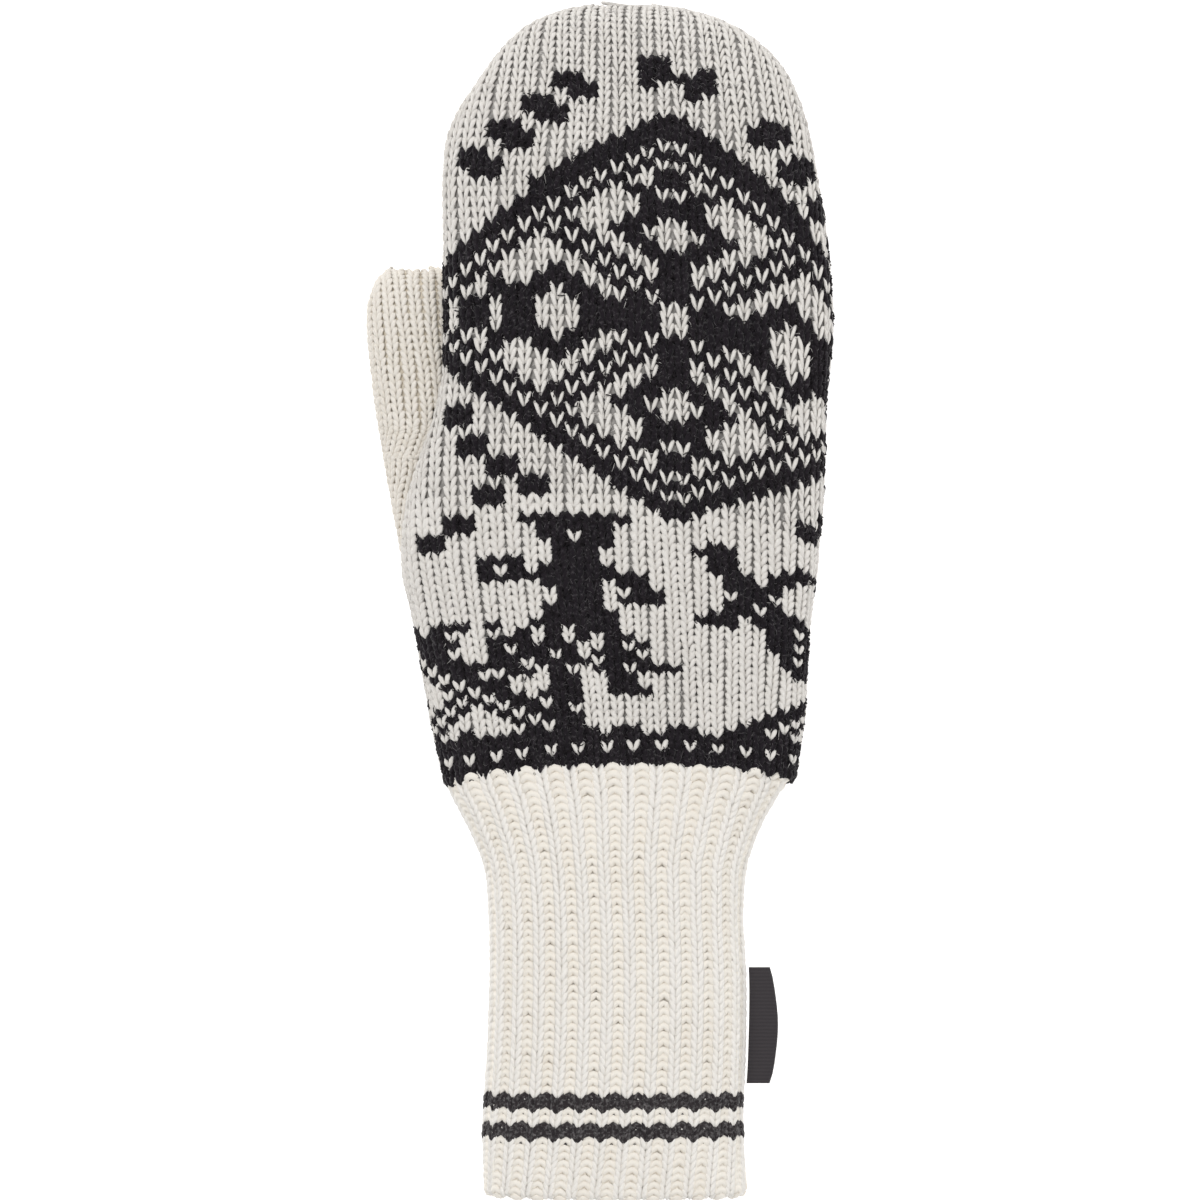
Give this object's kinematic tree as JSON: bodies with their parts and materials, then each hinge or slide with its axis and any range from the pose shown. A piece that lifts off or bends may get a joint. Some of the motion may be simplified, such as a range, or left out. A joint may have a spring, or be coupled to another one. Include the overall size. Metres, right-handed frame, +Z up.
{
  "type": "knitted mitten",
  "caption": "Long knitted mitten with a rounded patterned hand, a plain thumb at the side, a ribbed striped cuff and a small folded tab.",
  "frame": {"origin": "on the floor under the middle of the mitten as it lies on its palm", "axes": "+Y from the hem to the fingertips, +Z up out of the back of the hand, +X away from the thumb"},
  "size_m": [0.1168, 0.2994, 0.03],
  "materials": {
    "hand_knit": "two-colour stranded wool knitting, off-white and charcoal",
    "plain_knit": "plain off-white wool knitting",
    "rib_knit": "cream wool ribbing with two charcoal stripes",
    "woven_tape": "black woven tape"
  },
  "bodies": {
    "root": {"hand": "hand_knit", "thumb": "plain_knit", "cuff": "rib_knit", "side_tab": "woven_tape"}
  },
  "joints": []
}
